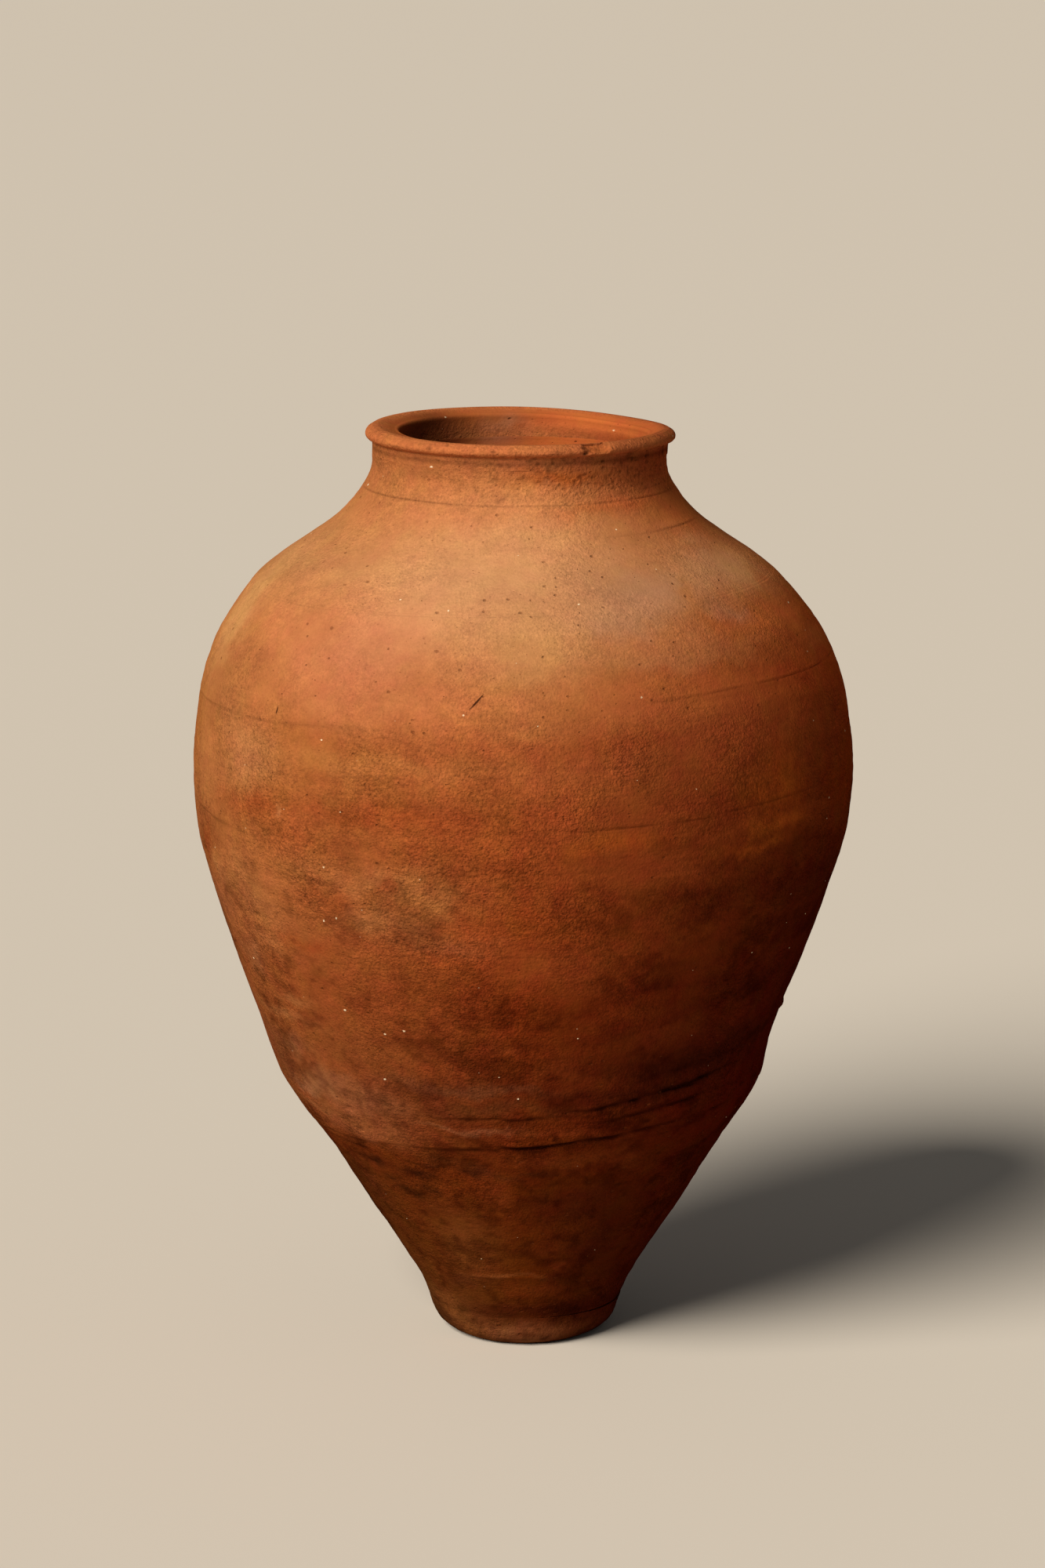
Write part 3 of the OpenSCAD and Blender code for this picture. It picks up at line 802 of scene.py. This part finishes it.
def noise_sum(tree, spot, layers, start):
    """The sum of several noises, starting from a number."""
    total = start
    for size, flatness, amount, detail in layers:
        scaled = add(tree, "Mapping", {"Vector": spot, "Scale": (1, 1, flatness)})
        noise = add(tree, "TexNoise", {
            "Vector": scaled.outputs["Vector"], "Scale": 1 / (size * mm), "Detail": detail, "Roughness": 0.6,
        })
        step = add(tree, "Math", {0: noise.outputs["Fac"], 1: amount, 2: total}, operation="MULTIPLY_ADD")
        total = step.outputs["Value"]
    return total


# %% [markdown]
# Specks are cells of a Voronoi pattern: a grain sits in each cell, and its size is a random number
# of the cell. Most grains come out too small to see, so the specks look scattered.

# %% Specks
def specks(tree, spot, spacing, largest, rarity):
    """How much of a speck there is, from 0 to 1, with grains up to a radius in millimetres."""
    flat = add(tree, "Mapping", {"Vector": spot, "Scale": (1, 1, 1.5)})
    shake = add(tree, "TexNoise", {"Vector": spot, "Scale": 1 / (2.5 * mm), "Detail": 1})
    crooked = add(tree, "VectorMath", {
        0: shake.outputs["Color"], 1: (1.8 * mm, 1.8 * mm, 1.8 * mm), 2: flat.outputs["Vector"],
    }, operation="MULTIPLY_ADD")
    cells = add(tree, "TexVoronoi", {"Vector": crooked.outputs["Vector"], "Scale": 1 / (spacing * mm)})
    dice = add(tree, "SeparateColor", {"Color": cells.outputs["Color"]})
    rare = add(tree, "Math", {0: dice.outputs["Red"], 1: rarity}, operation="POWER")
    size = add(tree, "Math", {0: rare.outputs["Value"], 1: largest / spacing}, operation="MULTIPLY")
    share = add(tree, "Math", {0: cells.outputs["Distance"], 1: size.outputs["Value"]}, operation="DIVIDE")
    return add(tree, "MapRange", {
        "Value": share.outputs["Value"], "From Min": 1.0, "From Max": 0.35, "To Min": 0.0, "To Max": 1.0,
    }).outputs["Result"]


# %% [markdown]
# A knife or a nail once cut into the shoulder, and here and there a larger lump of lime sits in the
# clay. These marks are smaller than the faces of the drum, so they are drawn in the material: the
# coordinates are moved to the mark and stretched until it is a ball of radius 1, and everything
# inside the ball is marked.

# %% Single marks
# Angle, height, tilt from level in degrees, half length and half width in millimetres
CUTS = [(-7.6, 561, 48, 10, 0.9), (-47.5, 541, 84, 4, 0.8), (-50.5, 528, 80, 2, 0.8)]
LIME_HIGH = [(-10, 551, 0, 1, 0.9), (-36, 717, 20, 1.8, 1.3), (-15, 622, 0, 0.9, 0.8)]
LIME_LOW = [
    (-37, 383, 60, 1.4, 0.9), (-34, 387, 60, 1.2, 0.9), (-36.5, 308, 10, 1.8, 1), (-28, 292, 0, 1.2, 0.9),
    (-30, 252, 10, 1.4, 0.9), (0, 243, 0, 1, 0.8),
]


def single_mark(tree, spot, angle, height, tilt, half_length, half_width):
    """How much of a single mark there is, from 0 to 1."""
    turn = math.radians(angle)
    middle = on_wall(turn, height * mm, float(outer_radius(height * mm)) + 0.5 * mm)
    moved = add(tree, "Mapping", {
        "Vector": spot, "Location": (middle[0] + float(LEAN(height * mm)), middle[1], middle[2]),
        "Rotation": (0, -math.radians(tilt), turn),
        "Scale": (half_length * mm, 9 * mm, half_width * mm),
    }, vector_type="TEXTURE")
    reach = add(tree, "VectorMath", {0: moved.outputs["Vector"]}, operation="LENGTH")
    return add(tree, "MapRange", {
        "Value": reach.outputs["Value"], "From Min": 1.0, "From Max": 0.5, "To Min": 0.0, "To Max": 1.0,
    }).outputs["Result"]


# %% [markdown]
# ## Fired terracotta
# One function makes the four finishes, because they are the same clay after different fires. The
# base colour is the colour of the fire with its painted shade and highlight, varied by the grain and
# dotted with grit, pits and lime.
# Roughness stays near 0.9, as for any unglazed clay. The index of refraction is 1.5, but the open
# pores swallow the mirror part of the light, so the specular level is zero. The sandiness scales
# the grain and the bumps, so the inside and the worn places come out smoother. The height of the
# skin goes into a bump node, which works in millimetres here.

# %% Terracotta
def fired_terracotta(name, grit, pits, lime, roughness, skin, cuts=(), lumps=()):
    """Unglazed sandy terracotta. Grit, pits and lime are the largest grains in millimetres."""
    clay = bpy.data.materials.new(name)
    clay.use_nodes = True
    tree = clay.node_tree
    shader = tree.nodes["Principled BSDF"]
    shader.inputs["IOR"].default_value = 1.5
    shader.inputs["Specular IOR Level"].default_value = 0
    spot = add(tree, "TexCoord").outputs["Object"]
    fire = add(tree, "Attribute", attribute_name="fire_colour_and_painted_light")
    sand = add(tree, "Attribute", attribute_name="sandiness").outputs["Fac"]
    swing = noise_sum(tree, spot, GRAIN, -sum(layer[2] for layer in GRAIN) / 2)
    value = add(tree, "Math", {0: swing, 1: sand, 2: 1.0}, operation="MULTIPLY_ADD").outputs["Value"]
    warm = add(tree, "TexNoise", {"Vector": spot, "Scale": 1 / (18 * mm), "Detail": 3})
    hue = add(tree, "MapRange", {
        "Value": warm.outputs["Fac"], "From Min": 0.3, "From Max": 0.7, "To Min": 0.496, "To Max": 0.504,
    })
    colour = add(tree, "HueSaturation", {
        "Color": fire.outputs["Color"], "Value": value, "Hue": hue.outputs["Result"],
    }).outputs["Color"]
    rough = noise_sum(tree, spot, SKIN, 0.0)
    height = add(tree, "Math", {0: rough, 1: sand}, operation="MULTIPLY").outputs["Value"]
    # Spacing, largest grain, rarity, colour, strength and lift in millimetres
    grains = [
        # The pits get a dark brown colour: painted shade in the pits.
        (4.5, grit, 1.5, "6a3218", 0.38, -0.3), (9, pits, 2.4, "6a341a", 0.50, -1.0),
        (15, lime, 4.0, "f0dcb8", 0.95, 0.1),
    ]
    marks = [(specks(tree, spot, *grain[:3]), *grain[3:]) for grain in grains]
    # The cuts are coloured near black: painted shade in the cuts.
    marks += [(single_mark(tree, spot, *cut), "2a0f08", 0.9, -0.8) for cut in cuts]
    marks += [(single_mark(tree, spot, *lump), "f4e4c4", 0.7, 0.2) for lump in lumps]
    for mask, tone, strength, lift in marks:
        strong = add(tree, "Math", {0: mask, 1: strength}, operation="MULTIPLY")
        mix = add(tree, "Mix", {
            0: strong.outputs["Value"], 6: colour, 7: (*linear(tone), 1),
        }, data_type="RGBA")
        colour = mix.outputs[2]
        step = add(tree, "Math", {0: mask, 1: lift, 2: height}, operation="MULTIPLY_ADD")
        height = step.outputs["Value"]
    bump = add(tree, "Bump", {"Height": height, "Distance": skin * mm, "Strength": 1.0})
    dull = add(tree, "MapRange", {
        "Value": value, "From Min": 0.8, "From Max": 1.2,
        "To Min": roughness + 0.05, "To Max": roughness - 0.06,
    })
    tree.links.new(colour, shader.inputs["Base Color"])
    tree.links.new(dull.outputs["Result"], shader.inputs["Roughness"])
    tree.links.new(bump.outputs["Normal"], shader.inputs["Normal"])
    return clay


FINISHES = {
    "terracotta_pale": fired_terracotta("fired_terracotta_pale", 1.0, 2.1, 1.8, 0.90, 0.8, CUTS, LIME_HIGH),
    "terracotta_belly": fired_terracotta("fired_terracotta_orange", 1.1, 1.8, 1.5, 0.90, 1.0, (), LIME_LOW),
    "terracotta_sooted": fired_terracotta("fired_terracotta_sooted", 1.3, 2.4, 1.2, 0.88, 1.2),
    "luting_slip": fired_terracotta("fired_slip", 1.0, 1.2, 0.9, 0.92, 0.8),
}
print("finishes:", ", ".join(FINISHES))

# %% Hand the pieces to the frame
slots = {row["node"]: row["material_slot"] for row in frame["record"]["subparts"]}
for node, piece in pieces.items():
    smooth(piece)
    piece.data.materials.append(FINISHES[slots[node]])
    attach(piece, "root")
    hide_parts(node)
print(len(pieces), "pieces stand for the nodes")

# %% [markdown]
# ## Floor, light and camera
# A plain pale floor runs to the horizon. One large soft light stands to the left and a little in
# front, as a tall window would, and the pale room fills the shadows.

# %% Floor
bpy.ops.mesh.primitive_circle_add(vertices=128, radius=45, fill_type="NGON")
floor = bpy.context.object
floor.name = "studio_floor"
floor_paint = bpy.data.materials.new("pale_floor_paint")
floor_paint.use_nodes = True
shader = floor_paint.node_tree.nodes["Principled BSDF"]
shader.inputs["Base Color"].default_value = (*linear("dad5cb"), 1)
shader.inputs["Roughness"].default_value = 0.9
floor.data.materials.append(floor_paint)

# %% Light
LIGHT_TURN = -42
LIGHT_HEIGHT = 38
window = bpy.data.lights.new("tall_window", "SUN")
window.energy = 4.2
window.angle = math.radians(34)
window.color = linear("fff3e4")
lamp = bpy.data.objects.new("tall_window", window)
lamp.rotation_euler = (math.radians(90 - LIGHT_HEIGHT), 0, math.radians(LIGHT_TURN))
bpy.context.scene.collection.objects.link(lamp)
world = bpy.data.worlds.new("pale_room")
world.use_nodes = True
world.node_tree.nodes["Background"].inputs["Color"].default_value = (1, 0.97, 0.93, 1)
world.node_tree.nodes["Background"].inputs["Strength"].default_value = 0.10
bpy.context.scene.world = world
bpy.context.scene.view_settings.view_transform = "Standard"

# %% Camera
CAMERA_DISTANCE = 3.61
CAMERA_HEIGHT = 1.187
CAMERA_DROP = 11.56
camera_data = bpy.data.cameras.new("camera")
camera_data.lens = 105.4
camera_data.sensor_width = 36
camera = bpy.data.objects.new("camera", camera_data)
camera.location = (0, -CAMERA_DISTANCE, CAMERA_HEIGHT)
camera.rotation_euler = (math.radians(90 - CAMERA_DROP), 0, 0)
bpy.context.scene.collection.objects.link(camera)
bpy.context.scene.camera = camera
